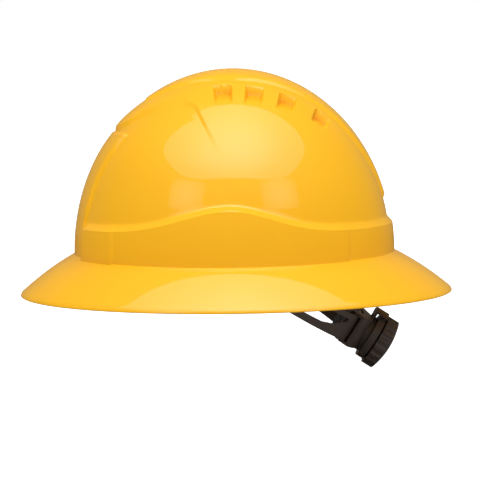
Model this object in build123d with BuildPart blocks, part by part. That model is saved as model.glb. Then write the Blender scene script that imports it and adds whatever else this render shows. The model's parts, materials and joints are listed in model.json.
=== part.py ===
from build123d import *
import os
from math import acos, asin, atan, atan2, cos, degrees, pi, radians, sin, sqrt, tan

# Full brim hard hat. Millimetres, +Z up, the front towards -Y, the wearer's left towards +X.
# The origin is the centre of the headband's loop, at half its height.

# Shell
brim_half_length = 165.0
brim_half_width = 138.0
brim_end_reach = 45.5
brim_side_reach = 34.0
brim_edge = 2.0
crown_height = 136.4
crown_set_forward = 1.5
crown_foot_above_rim = 33.0
shell_wall = 2.5
origin_above_rim = 15.0
band_proud = 3.6
band_side_proud = 1.8
band_front_length = 25.5
band_rear_length = 35.0
crest_half_width = 30.0
crest_proud = 3.0
crest_setback = 53.0
crest_tail_half_width = 9.0
crest_tail_above_rim = 70.0
panel_half_width = 36.0
panel_proud = 2.3
panel_top_above_rim = 124.0
tier_longer = 6.5
tier_lower = 1.4
recess_width = 13.5
recess_reach = 20.0
recess_depth = 6.5
recess_first_degrees = -4.5
recess_pitch_degrees = 12.2
recess_count = 4
recess_from_crest = 5.0
slot_length = 30.0
slot_gap = 4.6
slot_depth = 22.0
pocket_wall = 2.2

# Suspension
headband_end_gap = 18.5
headband_side_gap = 28.0
headband_height = 30.0
headband_wall = 1.8
brow_pad_thickness = 4.0
brow_pad_height = 28.0
brow_pad_front = 70.0
strap_width = 19.0
strap_thickness = 1.2
strap_clearance_to_crown = 26.0
strap_layer_gap = 0.6
crown_pad_diameter = 46.0
crown_pad_thickness = 1.6
key_width = 26.0
key_height = 24.0
key_thickness = 5.0
key_plug_width = 14.0
key_plug_height = 12.0
key_plug_thickness = 3.0
key_clearance = 0.3
key_turn_degrees = 48.0
key_from_wall = 3.7
strap_standoff = 0.9
hanger_width = 16.0
hanger_peg_diameter = 5.0
peg_clearance = 0.1

# Nape arms, their pivots and the ratchet
nape_tilt = 33.0
lug_behind_origin = 25.0
arm_beyond_headband = 4.6
arm_thickness = 2.0
arm_height = 21.0
arm_layer_gap = 0.3
pivot_diameter = 9.0
pivot_clearance = 0.65
lug_clearance = 2.1
eye_diameter = 20.0
button_diameter = 15.0
button_thickness = 2.0
rivet_thickness = 1.6
travel_degrees = 10.0
rack_module = 1.0
pinion_teeth = 12
pressure_angle = 20.0
tooth_backlash = 0.36
tip_clearance = 0.25
running_clearance = 0.3
housing_half_angle = 28.5
housing_wall = 2.0
collar_diameter = 36.0
collar_height = 8.5
collar_neck_diameter = 29.0
collar_neck_height = 3.0
knob_diameter = 40.6
knob_skirt = 8.8
knob_dome = 3.6
knob_lobes = 18
knob_wall = 2.0
knob_gap = 1.2
guard_gap = 3.0
guard_thickness = 0.9
guard_degrees = 62.0
spindle_diameter = 7.0
screw_diameter = 3.0
screw_head_diameter = 6.0
screw_head_height = 2.2
click_ring_diameter = 28.0
click_ring_height = 2.4
click_teeth = 24
click_band = 1.6
click_tooth_height = 1.4
pawl_clearance = 0.2
flats_across = 5.6
knob_scallop = 3.2
nape_pad_thickness = 5.0
overrun = 20.0

rim_z = -origin_above_rim
foot_z = rim_z + crown_foot_above_rim
crown_half_length = brim_half_length - brim_end_reach
crown_half_width = brim_half_width - brim_side_reach
band_front_end = crown_half_length - band_front_length
band_rear_end = crown_half_length - band_rear_length
crest_front = crown_half_length - crest_setback
headband_half_length = crown_half_length - headband_end_gap
headband_half_width = crown_half_width - headband_side_gap
arm_radius = headband_half_width + arm_beyond_headband
brim_drop_shares = (0.0, 0.27, 0.65, 1.0)
brim_out_shares = (0.0, 0.33, 0.71, 1.0)
wave_height_shares = (0.42, 0.396, 0.418, 0.48, 0.539, 0.561, 0.52, 0.456, 0.429, 0.418, 0.407)
wave_length_shares = (-1.3, -0.79, -0.6, -0.41, -0.18, -0.02, 0.2, 0.42, 0.55, 0.7, 1.3)
tier_length_shares = (-1.2, -0.79, -0.56, -0.31, -0.1, 0, 0, -1.2)
tier_height_shares = (0.87, 0.915, 1.02, 1.08, 0.9, 0.9, 1.5, 1.5)


def above_rim(height):
    return rim_z + height


def oval_end(half_short, half_long):
    """How far from the middle the end's arc has its centre, in an oval as round at its ends as an ellipse is."""
    return half_long - half_short**2 / half_long


def side_centre(half_short, half_long, end_centre):
    """How far past the middle the side's arc has its centre, so that it meets the end's arc smoothly."""
    short_of = half_short - half_long + end_centre
    return (end_centre**2 - short_of**2) / short_of / 2


def oval_line(middle, half_short, half_long, end_centre, start=0):
    """Half an oval in the line being built: from its right side over the top, or with start 180 back under it."""
    past = side_centre(half_short, half_long, end_centre)
    turn = degrees(atan2(abs(end_centre), abs(past)))
    way = cos(radians(start))
    CenterArc((-past * way, middle), half_short + past, start, turn)
    CenterArc((0, middle + end_centre * way), half_long - end_centre, start + turn, 180 - turn * 2)
    CenterArc((past * way, middle), half_short + past, start + 180 - turn, turn)


def dome(grow, longer=0.0, lower=0.0):
    """The crown's ellipsoid, with each half axis longer by grow."""
    with BuildPart() as ball:
        Sphere(1)
        scale(by=(crown_half_width + grow, crown_half_length + grow + longer, crown_height + grow - lower))
    return Pos(0, -crown_set_forward, foot_z) * ball.part


def flare(inset, edge):
    """The brim's cone, lofted through ellipses from the crown's foot to the rim, and the upright edge under it."""
    with BuildPart() as cone:
        for drop_share, out_share in zip(brim_drop_shares, brim_out_shares):
            half_width = crown_half_width + (brim_half_width - crown_half_width) * out_share
            half_length = crown_half_length + (brim_half_length - crown_half_length) * out_share
            forward = crown_set_forward * (1 - out_share)
            with BuildSketch(Plane.XY.offset(foot_z - (crown_foot_above_rim - edge) * drop_share)):
                with Locations((0, -forward)):
                    Ellipse(half_width - inset, half_length - inset)
        loft()
        if edge:
            with BuildSketch(Plane.XY.offset(rim_z)):
                Ellipse(brim_half_width - inset, brim_half_length - inset)
            extrude(amount=edge)
    return cone.part


def side_outline(points, curve=None):
    """A prism across the hat whose outline is given in the side view."""
    with BuildPart() as prism:
        with BuildSketch(Plane.YZ):
            with BuildLine():
                if curve:
                    top = Spline(*curve)
                    Polyline(top @ 1, *points, top @ 0)
                else:
                    Polyline(*points, close=True)
            make_face()
        extrude(amount=brim_half_width, both=True)
    return prism.part


def below_wave(drop):
    """Everything under the band's wave, seen from the side."""
    curve = [
        (crown_half_length * along, above_rim(crown_height * up) - drop)
        for along, up in zip(wave_length_shares, wave_height_shares)
    ]
    return side_outline([(curve[-1][0], foot_z), (curve[0][0], foot_z)], curve)


def dome_radius(turn, across, grow=0.0):
    """Distance from the crown's centre line to its surface, turn degrees behind upright, across from the middle."""
    round_share = sqrt(1 - (across / (crown_half_width + grow)) ** 2)
    length = sin(radians(turn)) / (crown_half_length + grow)
    height = cos(radians(turn)) / (crown_height + grow)
    return round_share / sqrt(length**2 + height**2)


def recesses(wall, side):
    """The blind square recesses beside the crest, with a steep inner wall and a ramp for a floor."""
    inner = crest_half_width + recess_from_crest
    outer = inner + recess_reach
    with BuildPart() as cuts:
        for number in range(recess_count):
            turn = recess_first_degrees + recess_pitch_degrees * number
            top = dome_radius(turn, inner)
            low = dome_radius(turn, outer)
            across = Plane(
                origin=(0, -crown_set_forward, foot_z),
                x_dir=(side, 0, 0),
                z_dir=(0, -side * cos(radians(turn)), side * sin(radians(turn))),
            )
            with BuildSketch(across):
                with BuildLine():
                    Polyline(
                        (inner - wall, top + overrun),
                        (inner - wall, top - recess_depth - wall),
                        (outer + wall, low - wall),
                        (outer + wall, top + overrun),
                        close=True,
                    )
                make_face()
            extrude(amount=recess_width / 2 + wall, both=True)
    return cuts.part


def at_foot(turn, inset):
    """Distance from the crown's middle to its wall at foot height, turn degrees round from the side."""
    width = cos(radians(turn)) / (crown_half_width - inset)
    length = sin(radians(turn)) / (crown_half_length - inset)
    return 1 / sqrt(width**2 + length**2)


def wall_plane(turn):
    """Upright plane through the crown's middle line: x points out to the wall, y up."""
    return Plane(
        origin=(0, -crown_set_forward, 0),
        x_dir=(cos(radians(turn)), sin(radians(turn)), 0),
        z_dir=(sin(radians(turn)), -cos(radians(turn)), 0),
    )


slot_turns = (0, 180)
key_turns = (key_turn_degrees, 180 - key_turn_degrees, 180 + key_turn_degrees, -key_turn_degrees)
key_inner_face = at_foot(key_turn_degrees, shell_wall) - key_from_wall - key_thickness
slot_inner_face = at_foot(0, shell_wall) - slot_gap


def pocket_block(turn, inner_face, width, height):
    """The moulded block inside the wall that a pocket is cut in."""
    with BuildPart() as block:
        with BuildSketch(wall_plane(turn)):
            with BuildLine():
                Polyline(
                    (inner_face - pocket_wall, foot_z),
                    (at_foot(turn, 0), foot_z),
                    (at_foot(turn, 0), foot_z + height + pocket_wall * 2),
                    (inner_face, foot_z + height + pocket_wall * 2),
                    (inner_face - pocket_wall, foot_z + height),
                    close=True,
                )
            make_face()
        extrude(amount=width / 2 + pocket_wall, both=True)
        add(dome(-shell_wall / 2), mode=Mode.INTERSECT)
    return block.part


def pocket_cut(turn, inner_face, gap, width, height):
    """A pocket that opens downwards at the crown's foot."""
    with BuildPart() as cut:
        with BuildSketch(wall_plane(turn)):
            with Locations((inner_face + gap / 2, foot_z + height / 2 - overrun / 2)):
                Rectangle(gap, height + overrun)
        extrude(amount=width / 2, both=True)
    return cut.part


# Shell
inner_inset = shell_wall / sin(atan(crown_foot_above_rim / (brim_half_length - crown_half_length)))
with BuildPart() as crown_cavity:
    add(dome(-shell_wall))
    for side in (1, -1):
        add(recesses(shell_wall, side), mode=Mode.SUBTRACT)
    split(bisect_by=Plane.XY.offset(foot_z), keep=Keep.TOP)

tail_z = above_rim(crest_tail_above_rim)
full_width_z = above_rim(crest_tail_above_rim + crest_half_width * 1.2)
with BuildPart() as crest:
    add(dome(crest_proud))
    with BuildSketch(Plane.XZ) as rear_outline:
        with BuildLine():
            Polyline(
                (-crest_tail_half_width, tail_z),
                (crest_tail_half_width, tail_z),
                (crest_half_width, full_width_z),
                (crest_half_width, crown_height + overrun),
                (-crest_half_width, crown_height + overrun),
                (-crest_half_width, full_width_z),
                close=True,
            )
        make_face()
    extrude(to_extrude=rear_outline.sketch, amount=brim_half_length, both=True, mode=Mode.INTERSECT)
    split(bisect_by=Plane.XZ.offset(crest_front), keep=Keep.BOTTOM)

with BuildPart() as band:
    add(dome(band_proud))
    add(below_wave(0), mode=Mode.INTERSECT)
    with Locations((0, (band_rear_end - band_front_end) / 2, foot_z)):
        Box(
            brim_half_width * 2,
            band_rear_end + band_front_end,
            crown_height * 2,
            mode=Mode.SUBTRACT,
        )
    add(dome(band_side_proud) & below_wave(0))

with BuildPart() as panel:
    add(dome(panel_proud))
    with BuildSketch(Plane.XZ.offset(crown_half_length / 2)):
        with Locations((0, above_rim(panel_top_above_rim) / 2)):
            RectangleRounded(panel_half_width * 2, above_rim(panel_top_above_rim), panel_half_width / 4)
    extrude(amount=crown_half_length, mode=Mode.INTERSECT)

with BuildPart() as tier:
    add(dome(0, tier_longer, tier_lower))
    add(
        side_outline(
            [
                (crown_half_length * along, above_rim(crown_height * up))
                for along, up in zip(tier_length_shares, tier_height_shares)
            ]
        ),
        mode=Mode.INTERSECT,
    )

with BuildPart() as shell:
    add(dome(0))
    add(crest.part)
    add(band.part)
    add(panel.part)
    add(tier.part)
    split(bisect_by=Plane.XY.offset(foot_z), keep=Keep.TOP)
    for side in (1, -1):
        add(recesses(0, side), mode=Mode.SUBTRACT)
    add(flare(0, brim_edge))
    add(flare(inner_inset, 0), mode=Mode.SUBTRACT)
    add(crown_cavity.part, mode=Mode.SUBTRACT)
    for turn in slot_turns:
        add(pocket_block(turn, slot_inner_face, slot_length, slot_depth))
        add(pocket_cut(turn, slot_inner_face, slot_gap, slot_length, slot_depth), mode=Mode.SUBTRACT)
    for turn in key_turns:
        plug_face = key_inner_face + key_thickness - key_plug_thickness - key_clearance
        plug_gap = key_plug_thickness + key_clearance * 2
        plug_width = key_plug_width + key_clearance * 2
        add(pocket_block(turn, plug_face, plug_width, key_plug_height + key_clearance))
        add(pocket_cut(turn, plug_face, plug_gap, plug_width, key_plug_height + key_clearance), mode=Mode.SUBTRACT)

# Strap keys
key_names = ("rear_left", "rear_right", "front_right", "front_left")
key_top = foot_z - key_clearance
key_bottom = key_top - key_height
strap_slot_z = key_top - key_height * 0.42
peg_z = key_bottom + hanger_peg_diameter


def strap_key(turn):
    """A plug with a plate under it, with a slot for the strap and a hole for the headband's peg."""
    middle = key_inner_face + key_thickness / 2
    with BuildPart() as key:
        with BuildSketch(wall_plane(turn)):
            with Locations((middle, (key_top + key_bottom) / 2)):
                Rectangle(key_thickness, key_height)
        extrude(amount=key_width / 2, both=True)
        fillet(key.edges().filter_by(Axis.Z), radius=key_thickness / 4)
        with BuildSketch(wall_plane(turn)):
            with Locations((key_inner_face + key_thickness - key_plug_thickness / 2, key_top + key_plug_height / 2)):
                Rectangle(key_plug_thickness, key_plug_height)
        extrude(amount=key_plug_width / 2, both=True)
        with BuildSketch(wall_plane(turn)):
            with Locations((middle, strap_slot_z)):
                Rectangle(key_thickness * 2, strap_thickness + key_clearance * 2)
        extrude(amount=strap_width / 2 + key_clearance, both=True, mode=Mode.SUBTRACT)
        with BuildSketch(peg_plane(turn, key_inner_face - overrun)):
            Circle(hanger_peg_diameter / 2 + peg_clearance)
        extrude(amount=overrun * 2, mode=Mode.SUBTRACT)
    return key.part


def peg_plane(turn, reach):
    """Plane square to the wall's direction at the height of the headband's pegs."""
    out = Vector(cos(radians(turn)), sin(radians(turn)), 0)
    return Plane(origin=out * reach + Vector(0, -crown_set_forward, peg_z), z_dir=out)


# Crown straps, one lying over the other at the crossing
strap_face = key_inner_face - strap_standoff - strap_thickness / 2
strap_rise = crown_height - strap_clearance_to_crown
strap_top_centre = oval_end(strap_face, strap_rise)


def crown_strap(turn, drop):
    """Webbing from the slot of one key, over the head and into the key across from it."""
    reach = strap_face
    back = key_inner_face + key_thickness + key_clearance + strap_thickness / 2
    end_z = strap_slot_z + key_height / 4
    with BuildPart() as strap:
        with BuildSketch(wall_plane(turn)):
            with BuildLine() as path:
                oval_line(foot_z, reach, strap_rise - drop, strap_top_centre)
                for side in (1, -1):
                    Polyline(
                        (side * reach, foot_z),
                        (side * reach, strap_slot_z),
                        (side * back, strap_slot_z),
                        (side * back, end_z),
                    )
            trace(path.line, strap_thickness)
        extrude(amount=strap_width / 2, both=True)
    return strap.part


# Crown pad, a cap under the crossing
pad_drop = strap_thickness * 1.5 + strap_layer_gap * 1.5
pad_centre = Pos(0, -crown_set_forward, foot_z + strap_top_centre)
pad_radius = strap_rise - strap_top_centre - pad_drop
with BuildPart() as crown_pad:
    with Locations(pad_centre):
        Sphere(pad_radius)
        with Locations((0, 0, pad_radius)):
            Cylinder(crown_pad_diameter / 2, pad_radius, mode=Mode.INTERSECT)
        Sphere(pad_radius - crown_pad_thickness, mode=Mode.SUBTRACT)
        with Locations((0, 0, pad_radius)):
            with PolarLocations(crown_pad_diameter / 3, 6):
                Cylinder(crown_pad_diameter / 16, pad_radius, mode=Mode.SUBTRACT)

# Headband
headband_end_centre = oval_end(headband_half_width, headband_half_length)
headband_past = side_centre(headband_half_width, headband_half_length, headband_end_centre)
headband_side_radius = headband_half_width + headband_past
lug_x = sqrt(headband_side_radius**2 - lug_behind_origin**2) - headband_past
arm_inner = {1: arm_radius, -1: arm_radius + arm_thickness + arm_layer_gap}
lug_radius = button_diameter / 2
lug_gap = arm_radius * (1 - cos(radians(travel_degrees))) + lug_radius * sin(radians(travel_degrees)) + lug_clearance
rear_rail_height = headband_height * 0.4
rail_z = headband_height / 2 - rear_rail_height
hanger_thickness = headband_wall
hanger_z = rail_z + hanger_thickness / 2
hanger_face = key_inner_face - key_clearance - hanger_thickness / 2


def pivot_plane(side, reach):
    """Plane square to the nape arms' pivots, facing outwards on that side."""
    return Plane(origin=(side * reach, lug_behind_origin, 0), x_dir=(0, 1, 0), z_dir=(side, 0, 0))


def headband_reach(turn):
    """Distance from the crown's middle to the middle of the headband's wall, where its side arcs run."""
    toward = headband_past * abs(cos(radians(turn))) - crown_set_forward * sin(radians(turn))
    beyond = (headband_side_radius + headband_wall / 2) ** 2 - headband_past**2 - crown_set_forward**2
    return sqrt(toward**2 + beyond) - toward


def headband_oval(grow):
    """The headband's oval, with its wall further out by grow."""
    with BuildSketch() as oval:
        with BuildLine():
            for start in (0, 180):
                oval_line(0, headband_half_width + grow, headband_half_length + grow, headband_end_centre, start)
        make_face()
    return oval.sketch


with BuildPart() as headband:
    with BuildSketch(Plane.XY.offset(-headband_height / 2)):
        add(headband_oval(headband_wall))
        add(headband_oval(0), mode=Mode.SUBTRACT)
    extrude(amount=headband_height)
    with BuildSketch(Plane.YZ):
        with BuildLine():
            Polyline(
                (lug_behind_origin + eye_diameter, -headband_height),
                (lug_behind_origin + eye_diameter * 1.6, rail_z),
                (headband_half_length * 2, rail_z),
                (headband_half_length * 2, -headband_height),
                close=True,
            )
        make_face()
    extrude(amount=headband_half_width * 2, both=True, mode=Mode.SUBTRACT)
    for side in (1, -1):
        with BuildSketch(pivot_plane(side, lug_x - headband_wall)):
            Circle(lug_radius)
        extrude(amount=arm_inner[side] - lug_gap - lug_x + headband_wall)
        with BuildSketch(pivot_plane(side, 0)):
            Circle(pivot_diameter / 2 + peg_clearance)
        extrude(amount=headband_half_length, mode=Mode.SUBTRACT)
    for turn in key_turns:
        with BuildSketch(wall_plane(turn)):
            with BuildLine() as hanger:
                Polyline(
                    (headband_reach(turn) + hanger_thickness / 2, hanger_z),
                    (hanger_face, hanger_z),
                    (hanger_face, key_bottom + hanger_thickness / 2),
                )
            trace(hanger.line, hanger_thickness)
        extrude(amount=hanger_width / 2, both=True)
        with BuildSketch(peg_plane(turn, key_inner_face - key_clearance - hanger_thickness)):
            Circle(hanger_peg_diameter / 2)
        extrude(amount=key_thickness + hanger_thickness + key_clearance)

# Brow pad, along the inside of the headband's front
with BuildPart() as brow_pad:
    with BuildSketch(Plane.XY.offset(-brow_pad_height / 2)):
        add(headband_oval(-key_clearance))
        add(headband_oval(-key_clearance - brow_pad_thickness), mode=Mode.SUBTRACT)
        with Locations((0, headband_half_length - brow_pad_front / 2)):
            Rectangle(headband_half_width * 4, headband_half_length * 2, mode=Mode.SUBTRACT)
    extrude(amount=brow_pad_height)
    chamfer(brow_pad.edges(), length=brow_pad_thickness * 0.3)

# Nape frame: it tilts on the pivots, u runs back and down from them, w square to it
tilt = radians(nape_tilt)
u_dir = (0, cos(tilt), -sin(tilt))
w_dir = (0, sin(tilt), cos(tilt))
pivot_point = (0, lug_behind_origin, 0)
nape_flat = Plane(origin=pivot_point, x_dir=(1, 0, 0), z_dir=w_dir)
nape_side = Plane(origin=pivot_point, x_dir=u_dir, z_dir=(1, 0, 0))
nape_back = Plane(origin=pivot_point, x_dir=(-1, 0, 0), z_dir=u_dir)

# Rack and pinion
pitch_radius = rack_module * pinion_teeth / 2
tip_radius = pitch_radius + rack_module * 0.8
root_radius = pitch_radius - rack_module * 1.1
tooth_pitch = pi * rack_module
mesh_radius = arm_radius + arm_thickness + arm_layer_gap / 2
housing_inside = arm_height / 2 + running_clearance


def ring_sector(inner, outer, start, end, half_height):
    """Part of an upright ring round the pivots' middle, in degrees from straight back."""
    with BuildPart() as sector:
        with BuildSketch(nape_flat.offset(-half_height)):
            with BuildLine():
                first = CenterArc((0, 0), outer, 90 - end, end - start)
                last = CenterArc((0, 0), inner, 90 - end, end - start)
                Line(first @ 0, last @ 0)
                Line(first @ 1, last @ 1)
            make_face()
        extrude(amount=half_height * 2)
    return sector.part


def rack_gap(position, edge):
    """One gap between the rack's teeth, cut straight outwards at its own angle round the ring."""
    turn = position * degrees(tooth_pitch / mesh_radius)
    out = Plane(
        origin=pivot_point,
        x_dir=Vector(-1, 0, 0).rotate(Axis((0, 0, 0), w_dir), -turn),
        z_dir=Vector(*u_dir).rotate(Axis((0, 0, 0), w_dir), -turn),
    )
    half = tooth_pitch / 4 + tooth_backlash / 2
    slope = tan(radians(pressure_angle))
    low = pitch_radius - rack_module * 1.2
    high = tip_radius + tip_clearance
    with BuildPart() as gap:
        with BuildSketch(out.offset(arm_radius / 2)):
            with BuildLine():
                Polyline(
                    (-half - (pitch_radius - low) * slope, edge * low),
                    (half + (pitch_radius - low) * slope, edge * low),
                    (half - (high - pitch_radius) * slope, edge * high),
                    (-half + (high - pitch_radius) * slope, edge * high),
                    close=True,
                )
            make_face()
        extrude(amount=arm_radius)
    return gap.part


slot_half_angle = travel_degrees + degrees((tip_radius + tip_clearance) / mesh_radius)
tongue_end = slot_half_angle + degrees(arm_thickness / mesh_radius)
window_height_share = 0.31
neck_half_height = eye_diameter * 0.32


def nape_arm(side, edge):
    """A curved arm with an eye at the pivot, a window, and a rack on its tongue."""
    inner = arm_inner[side]
    outer = inner + arm_thickness
    with BuildPart() as arm:
        eye_end = 90 + degrees(asin(eye_diameter / 2 / outer))
        start, end = sorted((-side * tongue_end, side * eye_end))
        add(ring_sector(inner, outer, start, end, arm_height / 2))
        cut_start, cut_end = -slot_half_angle, slot_half_angle
        low, high = sorted((-edge * (tip_radius + tip_clearance), edge * (pitch_radius - rack_module * 0.8)))
        with BuildSketch(nape_flat.offset(low)):
            with BuildLine():
                first = CenterArc((0, 0), outer * 1.1, 90 - cut_end, cut_end - cut_start)
                last = CenterArc((0, 0), inner * 0.9, 90 - cut_end, cut_end - cut_start)
                Line(first @ 0, last @ 0)
                Line(first @ 1, last @ 1)
            make_face()
        extrude(amount=high - low, mode=Mode.SUBTRACT)
        teeth = int(radians(slot_half_angle) * mesh_radius / tooth_pitch)
        for position in range(-teeth, teeth + 1):
            add(rack_gap(position, edge), mode=Mode.SUBTRACT)
        with BuildSketch(nape_side) as side_view:
            with BuildLine():
                top = arm_height * window_height_share
                Polyline(
                    (arm_radius * 0.32, -arm_height * 0.24),
                    (arm_radius * 0.6, -arm_height * 0.21),
                    (arm_radius * 0.71, -arm_height * 0.1),
                    (arm_radius * 0.82, arm_height * 0.16),
                    (arm_radius * 0.84, top),
                    (arm_radius * 0.74, top),
                    (arm_radius * 0.36, top),
                    (arm_radius * 0.32, top * 0.7),
                    close=True,
                )
            make_face()
            fillet(side_view.vertices(), radius=arm_thickness / 2)
        extrude(amount=side * outer * 2, mode=Mode.SUBTRACT)
        with BuildSketch(nape_side):
            for sign in (1, -1):
                with BuildLine():
                    Polyline(
                        (-eye_diameter, sign * arm_height),
                        (-eye_diameter, 0),
                        (0, 0),
                        (0, sign * neck_half_height),
                        (eye_diameter * 0.6, sign * neck_half_height),
                        (arm_radius * 0.3, sign * arm_height / 2),
                        (arm_radius * 0.3, sign * arm_height),
                        close=True,
                    )
                make_face()
            Circle(eye_diameter / 2, mode=Mode.SUBTRACT)
        extrude(amount=side * outer * 2, mode=Mode.SUBTRACT)
        with BuildSketch(nape_side):
            Circle(pivot_diameter / 2 + pivot_clearance)
        extrude(amount=side * outer * 2, mode=Mode.SUBTRACT)
    return arm.part


# Pivot buttons, which the arms' eyes turn and slide on
def pivot_button(side):
    """A shank through the headband's lug and the arm's eye, with a head at each end."""
    eye_face = arm_inner[side] + arm_thickness + running_clearance
    inner_face = lug_x - headband_wall - running_clearance
    with BuildPart() as button:
        with BuildSketch(pivot_plane(side, inner_face - rivet_thickness)):
            Circle(pivot_diameter / 2 + rivet_thickness)
        extrude(amount=rivet_thickness)
        with BuildSketch(pivot_plane(side, inner_face)):
            Circle(pivot_diameter / 2)
        extrude(amount=eye_face - inner_face)
        with BuildSketch(pivot_plane(side, eye_face)):
            Circle(button_diameter / 2)
        extrude(amount=button_thickness)
        rim = button.faces().sort_by(Axis.X)[-1 if side > 0 else 0].edges()
        chamfer(rim, length=button_thickness * 0.4)
    return button.part


# Ratchet housing, its back plate and nape pad
housing_floor = arm_radius - running_clearance
housing_roof = arm_inner[-1] + arm_thickness + running_clearance
housing_face = housing_roof + housing_wall
collar_end = housing_face + collar_height
shaft_hole = spindle_diameter / 2 + running_clearance / 3

with BuildPart() as back_plate:
    add(
        ring_sector(
            housing_floor - housing_wall,
            housing_floor,
            -housing_half_angle,
            housing_half_angle,
            housing_inside + housing_wall,
        )
    )
    with BuildSketch(nape_back.offset(housing_floor / 2)):
        Circle(shaft_hole)
    extrude(amount=housing_floor, mode=Mode.SUBTRACT)

with BuildPart() as ratchet_housing:
    half_height = housing_inside + housing_wall
    add(ring_sector(housing_floor, housing_face, -housing_half_angle, housing_half_angle, half_height))
    with BuildSketch(nape_back.offset(housing_roof)):
        Circle(collar_neck_diameter / 2)
    extrude(amount=housing_wall + collar_neck_height)
    with BuildSketch(nape_back.offset(housing_face + collar_neck_height)):
        Circle(collar_diameter / 2)
    extrude(amount=collar_height - collar_neck_height)
    guard_inner = collar_diameter / 2 + guard_gap
    guard_outer = guard_inner + guard_thickness
    with BuildSketch(nape_back.offset(housing_roof)):
        with BuildLine():
            hood = CenterArc((0, 0), guard_outer, 90 - guard_degrees / 2, guard_degrees)
            Line(hood @ 0, (0, 0))
            Line(hood @ 1, (0, 0))
        make_face()
    extrude(amount=housing_wall)
    with BuildSketch(nape_back.offset(housing_face)):
        with BuildLine():
            top = CenterArc((0, 0), guard_outer, 90 - guard_degrees / 2, guard_degrees)
            under = CenterArc((0, 0), guard_inner, 90 - guard_degrees / 2, guard_degrees)
            Line(top @ 0, under @ 0)
            Line(top @ 1, under @ 1)
        make_face()
    extrude(amount=collar_height)
    add(
        ring_sector(
            housing_floor,
            housing_roof,
            -housing_half_angle * 2,
            housing_half_angle * 2,
            housing_inside,
        ),
        mode=Mode.SUBTRACT,
    )
    with BuildSketch(nape_back.offset(housing_floor)):
        Circle(shaft_hole)
    extrude(amount=arm_radius, mode=Mode.SUBTRACT)
    with BuildSketch(nape_back.offset(collar_end - click_ring_height)):
        Circle(click_ring_diameter / 2)
    extrude(amount=click_ring_height, mode=Mode.SUBTRACT)

with BuildPart() as nape_pad:
    pad_face = housing_floor - housing_wall - running_clearance
    add(
        ring_sector(
            pad_face - nape_pad_thickness,
            pad_face,
            -housing_half_angle,
            housing_half_angle,
            housing_inside + housing_wall,
        )
    )
    chamfer(nape_pad.edges(), length=nape_pad_thickness * 0.3)

# Click ring, sunk in the collar's end
click_outer = click_ring_diameter / 2
click_root = click_outer - click_band
click_tip = click_root - click_tooth_height
with BuildPart() as click_ring:
    with BuildSketch(nape_back.offset(collar_end - click_ring_height)):
        Circle(click_outer)
        Circle(click_root, mode=Mode.SUBTRACT)
        with PolarLocations(0, click_teeth):
            with BuildLine(mode=Mode.PRIVATE) as click_tooth:
                Polyline(
                    (click_outer - click_band / 2, 0),
                    (click_tip, 0),
                    (click_root * cos(2 * pi / click_teeth), click_root * sin(2 * pi / click_teeth)),
                    close=True,
                )
            add(make_face(click_tooth.line, mode=Mode.PRIVATE))
    extrude(amount=click_ring_height)

# Drive pinion, with the spindle that the knob turns
knob_back = collar_end + knob_gap
knob_face = knob_back + knob_skirt
spindle_end = knob_face - knob_wall
base_radius = pitch_radius * cos(radians(pressure_angle))


def involute(angle):
    return tan(angle) - angle


def tooth_half_angle(radius):
    """Half a tooth's angle at a radius: the involute outside the base circle, radial inside it."""
    half_at_pitch = (tooth_pitch / 4 - tooth_backlash / 4) / pitch_radius
    roll = acos(base_radius / max(radius, base_radius))
    return half_at_pitch + involute(radians(pressure_angle)) - involute(roll)


with BuildPart() as drive_pinion:
    with BuildSketch(nape_back.offset(housing_floor + running_clearance / 3)):
        Circle(root_radius)
        with PolarLocations(0, pinion_teeth, start_angle=90):
            flank_radii = (root_radius * 0.9, base_radius, pitch_radius, (pitch_radius + tip_radius) / 2, tip_radius)
            flank = [
                (radius * cos(tooth_half_angle(radius)), radius * sin(tooth_half_angle(radius)))
                for radius in flank_radii
            ]
            Polygon(*flank, *[(x, -y) for x, y in reversed(flank)], align=None)
    roof_sag = tip_radius**2 / housing_roof / 2
    extrude(amount=housing_roof - housing_floor - roof_sag - running_clearance * 2 / 3)
    with BuildSketch(nape_back.offset(housing_floor - housing_wall)):
        Circle(spindle_diameter / 2)
    extrude(amount=knob_back - housing_floor + housing_wall)
    with BuildSketch(nape_back.offset(knob_back)):
        Circle(spindle_diameter / 2)
        Rectangle(spindle_diameter, flats_across, mode=Mode.INTERSECT)
    extrude(amount=spindle_end - knob_back)
    with BuildSketch(nape_back.offset(housing_roof)):
        Circle(screw_diameter / 2 + peg_clearance)
    extrude(amount=spindle_end, mode=Mode.SUBTRACT)

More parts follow.
